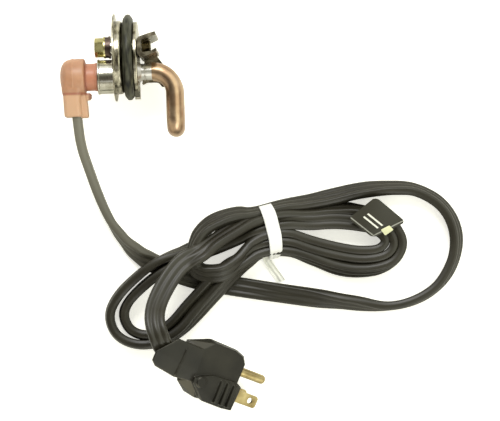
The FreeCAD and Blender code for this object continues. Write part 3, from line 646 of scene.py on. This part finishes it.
def boot_silicone():
    """Salmon silicone, paler down the tail and redder on the neck, with painted shade on the cap's rim over the
    neck.
    """
    material, shader = new_material("salmon_silicone")
    tree = material.node_tree
    where = tree.nodes.new("ShaderNodeTexCoord")
    axes = axes_of(tree, "Object")
    cloud = tree.nodes.new("ShaderNodeTexNoise")
    cloud.inputs["Scale"].default_value = 140
    cloud.inputs["Detail"].default_value = 5
    tree.links.new(where.outputs["Object"], cloud.inputs["Vector"])
    result = coloured(tree, cloud.outputs["Fac"], [(0.3, (0.4, 0.2, 0.11)), (0.72, (0.5, 0.27, 0.16))])
    # Each zone: along which axis and between which places it grows in, and its tint
    # The first zone is painted shade: it darkens the band where the cap's rim overhangs the neck
    for axis, start, end, tint in (("X", -0.0283, -0.0276, (0.3, 0.1, 0.06)),
                                   ("X", -0.0272, -0.0264, (0.52, 0.22, 0.13)),
                                   ("Y", -0.0075, -0.0082, (0.34, 0.13, 0.08)),
                                   ("Y", -0.0088, -0.0096, (0.58, 0.37, 0.23))):
        result = tinted(tree, result, growing(tree, axes[axis], start, end, 0.85), tint)
    tab = worked_out(tree, "MULTIPLY", growing(tree, axes["X"], -0.0267, -0.0258, 1),
                     growing(tree, axes["Y"], -0.0076, -0.0082, 0.9))
    result = tinted(tree, result, tab, (0.24, 0.1, 0.06))
    tree.links.new(result, shader.inputs["Base Color"])
    shader.inputs["Roughness"].default_value = 0.4
    shader.inputs["Subsurface Weight"].default_value = 0.15
    shader.inputs["Subsurface Radius"].default_value = (0.004, 0.002, 0.001)
    return material


def pressed_steel():
    """Bright steel, streaked round its rims and even across its flat faces."""
    material = noisy("drawn_steel", (0.05, 0.042, 0.024), (0.62, 0.58, 0.45), 210, (0.12, 0.3), 1.0,
                     stretch=(3.2, 0.8, 0.8))
    tree = material.node_tree
    shader, base = base_of(material)
    flat = worked_out(tree, "ABSOLUTE", axes_of(tree, "Normal")["X"])
    even = tinted(tree, base, growing(tree, flat, 0.8, 0.97, 0.88), (0.56, 0.54, 0.47))
    tree.links.new(even, shader.inputs["Base Color"])
    return material


def zinc_screw():
    """Yellow zinc, with painted shade darkening its end inside the bar."""
    material = noisy("yellow_zinc", (0.3, 0.26, 0.09), (0.82, 0.76, 0.4), 150, (0.18, 0.36), 1.0)
    tree = material.node_tree
    shader, base = base_of(material)
    # Painted shade: the screw's end inside the bar is darkened as if shaded by the bar
    inside = growing(tree, axes_of(tree, "Object")["X"], -0.002, 0.002, 0.88)
    painted_shade_end = tinted(tree, base, inside, (0.07, 0.05, 0.03))
    tree.links.new(painted_shade_end, shader.inputs["Base Color"])
    return material


def rubber_with_painted_highlights():
    """Black rubber whose flanks behind the shoulders are painted paler, as a highlight where they face two given
    directions.
    """
    material = noisy("plug_rubber", (0.01, 0.009, 0.006), (0.024, 0.022, 0.015), 60, (0.35, 0.5), shine=0.28)
    tree = material.node_tree
    shader, base = base_of(material)
    facing = tree.nodes.new("ShaderNodeTexCoord")
    # Painted highlight: facets facing each direction are made paler, as if lit
    for direction, most in (((-0.18, -0.62, 0.76), 0.8), ((-0.15, 0.6, 0.78), 0.4)):
        match = tree.nodes.new("ShaderNodeVectorMath")
        match.operation = "DOT_PRODUCT"
        match.inputs[1].default_value = direction
        tree.links.new(facing.outputs["Normal"], match.inputs[0])
        base = tinted(tree, base, growing(tree, match.outputs["Value"], 0.9, 0.97, most), (0.12, 0.11, 0.08))
    tree.links.new(base, shader.inputs["Base Color"])
    return material


def stepped(tree, value, steps):
    """A value that holds each step's level until the next step."""
    return coloured(tree, value, [(place, (level, level, level)) for place, level in steps], held=True)


def edged_film():
    """Olive black film with a thin pale line near two of its edges and two plain bars."""
    material, shader = new_material("edged_film")
    tree = material.node_tree
    axes = axes_of(tree, "film")
    near = worked_out(tree, "MINIMUM", axes["X"], worked_out(tree, "SUBTRACT", 1, axes["Y"]))
    pale = stepped(tree, near, [(0, 0), (0.05, 0.3), (0.08, 0)])
    bars = stepped(tree, axes["X"], [(0, 0), (0.3, 0.8), (0.35, 0), (0.44, 0.8), (0.49, 0)])
    length = stepped(tree, axes["Y"], [(0, 0), (0.24, 1), (0.78, 0)])
    inked = worked_out(tree, "MULTIPLY_ADD", bars, length, pale)
    film = coloured(tree, inked, [(0, (0.024, 0.022, 0.014)), (1, (0.95, 0.95, 0.85))])
    tree.links.new(film, shader.inputs["Base Color"])
    shader.inputs["Roughness"].default_value = 0.35
    return material


def jacket_rubber():
    """Olive black rubber, with a painted pale sheen over the stretch next to the boot."""
    material = noisy("cord_rubber", (0.015, 0.013, 0.008), (0.031, 0.028, 0.018), 40, (0.32, 0.46), bump=0.03,
                     shine=0.42)
    tree = material.node_tree
    shader, base = base_of(material)
    # Painted sheen: the first stretch from the boot is made paler, as light on the glossy jacket
    painted_sheen = tinted(tree, base, growing(tree, axes_of(tree, "cord")["X"], 1.3, 0.1, 0.85), (0.19, 0.18, 0.14))
    tree.links.new(painted_sheen, shader.inputs["Base Color"])
    return material


paint(cord, jacket_rubber())

# Each finish: its dark and light colour, cloudiness, lowest and highest roughness, and metal or not
finishes = {
    "bright_steel": noisy("bright_steel", (0.38, 0.36, 0.28), (0.68, 0.66, 0.58), 150, (0.12, 0.3), 1.0),
    "drawn_steel": pressed_steel(),
    "aged_steel": noisy("aged_steel", (0.09, 0.075, 0.05), (0.42, 0.38, 0.29), 260, (0.16, 0.4), 1.0),
    "dark_steel": noisy("dark_steel", (0.05, 0.035, 0.03), (0.16, 0.12, 0.1), 90, (0.3, 0.5), 1.0),
    "yellow_zinc": zinc_screw(),
    "copper_tube": noisy("copper_tube", (0.34, 0.2, 0.12), (0.62, 0.46, 0.3), 120, (0.22, 0.4), 1.0),
    "silver_solder": noisy("silver_solder", (0.5, 0.48, 0.44), (0.85, 0.84, 0.8), 90, (0.2, 0.5), 1.0),
    "brass": noisy("brass", (0.26, 0.19, 0.08), (0.62, 0.51, 0.26), 170, (0.2, 0.4), 1.0),
    "ring_rubber": noisy("ring_rubber", (0.005, 0.005, 0.005), (0.085, 0.085, 0.055), 200, (0.3, 0.5),
                         stretch=(3.4, 0.7, 0.7), shine=0.22),
    "salmon_silicone": boot_silicone(),
    "plug_rubber": rubber_with_painted_highlights(),
    "insulator": noisy("insulator", (0.5, 0.45, 0.35), (0.62, 0.57, 0.45), 80, (0.5, 0.7)),
    "clear_tie": noisy("clear_tie", (0.84, 0.84, 0.76), (0.97, 0.97, 0.93), 200, (0.2, 0.35)),
    "white_tie": noisy("white_tie", (0.82, 0.82, 0.8), (0.9, 0.9, 0.88), 40, (0.3, 0.5)),
    "tag_film": edged_film(),
    "patch_film": noisy("patch_film", (0.6, 0.6, 0.35), (0.75, 0.75, 0.5), 40, (0.4, 0.6)),
}
FINISH_OF = {
    "front_flange": "drawn_steel", "screw_boss": "bright_steel", "plug_hub": "drawn_steel",
    "back_plate": "drawn_steel", "locating_foot": "bright_steel", "terminal_shroud": "bright_steel",
    "o_ring": "ring_rubber", "terminal_insulator": "insulator", "terminal_pin_a": "brass",
    "terminal_pin_b": "brass", "ground_pin": "brass", "cold_end_upper": "silver_solder",
    "cold_end_lower": "silver_solder", "heating_element": "copper_tube", "clamp_screw": "yellow_zinc",
    "lock_washer": "dark_steel", "flat_washer": "dark_steel", "clamp_bar": "aged_steel",
    "elbow_boot": "salmon_silicone", "connector_body": "insulator", "contact_a": "brass", "contact_b": "brass",
    "contact_ground": "brass", "bundle_band": "white_tie", "band_tail": "clear_tie", "flag_film": "tag_film",
    "flag_patch": "patch_film", "mains_plug": "plug_rubber", "plug_ground_prong": "brass",
    "blade_upper": "brass", "blade_lower": "brass",
}
for node, finish in FINISH_OF.items():
    piece = bpy.data.objects.get(node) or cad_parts[node]
    paint(piece, finishes[finish])


# Floor and light: half the floor's side, how far it lies under the part, and how much of the white it glows
FLOOR_REACH = 3
FLOOR_DROP = 0.0002
FLOOR_LIFT = 0.62


def floor():
    """White paper: its shadows stay, and where no shadow falls the camera sees plain white."""
    data = bpy.data.meshes.new("floor")
    corners = [(x * FLOOR_REACH, y * FLOOR_REACH, 0) for x, y in ((-1, -1), (1, -1), (1, 1), (-1, 1))]
    data.from_pydata(corners, [], [(0, 1, 2, 3)])
    piece = link("floor", data)
    material, shader = new_material("floor_white")
    shader.inputs["Base Color"].default_value = (0.86, 0.85, 0.79, 1)
    shader.inputs["Roughness"].default_value = 0.9
    shader.inputs["Specular IOR Level"].default_value = 0.0
    tree = material.node_tree
    ray = tree.nodes.new("ShaderNodeLightPath")
    lift = worked_out(tree, "MULTIPLY", ray.outputs["Is Camera Ray"], FLOOR_LIFT)
    shader.inputs["Emission Color"].default_value = (1, 0.99, 0.93, 1)
    tree.links.new(lift, shader.inputs["Emission Strength"])
    paint(piece, material)
    piece.location.z = -FLOOR_DROP


floor()


LAMP_AIM = (0.06, -0.07, 0)


def lamp(name, place, size, power):
    """A round soft light that faces the part: place and size in metres, power in watts."""
    data = bpy.data.lights.new(name, "AREA")
    data.shape = "DISK"
    data.size = size
    data.energy = power
    light = bpy.data.objects.new(name, data)
    bpy.context.collection.objects.link(light)
    light.location = place
    aim = Vector(LAMP_AIM) - Vector(place)
    light.rotation_euler = aim.to_track_quat("-Z", "Y").to_euler()


lamp("key_lamp", (-0.05, 0.75, 1.0), 0.5, 7.5)
lamp("fill_lamp", (0.35, -1.15, 0.7), 0.8, 3)

# What the bright metal mirrors, by the angle from straight up: below 0.5 towards -Y, above it towards +Y
SURROUNDINGS = [(0.0, (0.8, 0.78, 0.66)), (0.25, (0.85, 0.82, 0.7)), (0.36, (0.9, 0.88, 0.74)),
                (0.375, (0.12, 0.1, 0.07)), (0.385, (0.1, 0.09, 0.07)), (0.395, (0.95, 0.95, 0.92)),
                (0.408, (0.95, 0.95, 0.92)), (0.42, (0.05, 0.045, 0.04)), (0.5, (0.07, 0.07, 0.06)),
                (0.54, (0.3, 0.31, 0.25)), (0.575, (0.5, 0.5, 0.45)), (0.59, (1.3, 1.3, 1.28)),
                (0.7, (1.3, 1.3, 1.28)), (0.725, (0.3, 0.26, 0.16)), (0.75, (0.2, 0.17, 0.1)),
                (1.0, (0.2, 0.17, 0.1))]
# The same by the angle towards the sides: below 0.5 towards -X, above it towards +X
SIDE_GLOW = [(0.0, (0, 0, 0)), (0.3, (0.02, 0.02, 0.02)), (0.46, (0.1, 0.07, 0.05)), (0.5, (0.04, 0.03, 0.03)),
             (0.52, (0.6, 0.52, 0.34)), (0.55, (1.7, 1.75, 1.5)), (0.64, (1.7, 1.75, 1.5)),
             (0.68, (0.45, 0.4, 0.3)), (0.75, (0.1, 0.1, 0.09)), (1.0, (0, 0, 0))]


def ramp_by_angle(tree, first, second, table):
    """Colours by the angle that two parts of the direction make."""
    share = tree.nodes.new("ShaderNodeMapRange")
    share.inputs["From Min"].default_value = -math.pi
    share.inputs["From Max"].default_value = math.pi
    tree.links.new(worked_out(tree, "ARCTAN2", first, second), share.inputs["Value"])
    return coloured(tree, share.outputs["Result"], table)


def studio_world():
    """White to the camera; what the metal mirrors is the lighter of the two rows of colours."""
    world = bpy.data.worlds.new("studio")
    world.use_nodes = True
    tree = world.node_tree
    back = tree.nodes["Background"]
    parts = axes_of(tree, "Generated")
    across = ramp_by_angle(tree, parts["Y"], parts["Z"], SURROUNDINGS)
    beside = ramp_by_angle(tree, parts["X"], parts["Z"], SIDE_GLOW)
    both = tree.nodes.new("ShaderNodeMix")
    both.data_type = "RGBA"
    both.blend_type = "LIGHTEN"
    share, one, other = [socket for socket in both.inputs if socket.enabled]
    share.default_value = 1
    tree.links.new(across, one)
    tree.links.new(beside, other)
    mirrored = next(socket for socket in both.outputs if socket.enabled)
    ray = tree.nodes.new("ShaderNodeLightPath")
    seen = tinted(tree, mirrored, ray.outputs["Is Camera Ray"], (1, 1, 1))
    tree.links.new(seen, back.inputs["Color"])
    bpy.context.scene.world = world


studio_world()
bpy.context.scene.view_settings.view_transform = "Standard"
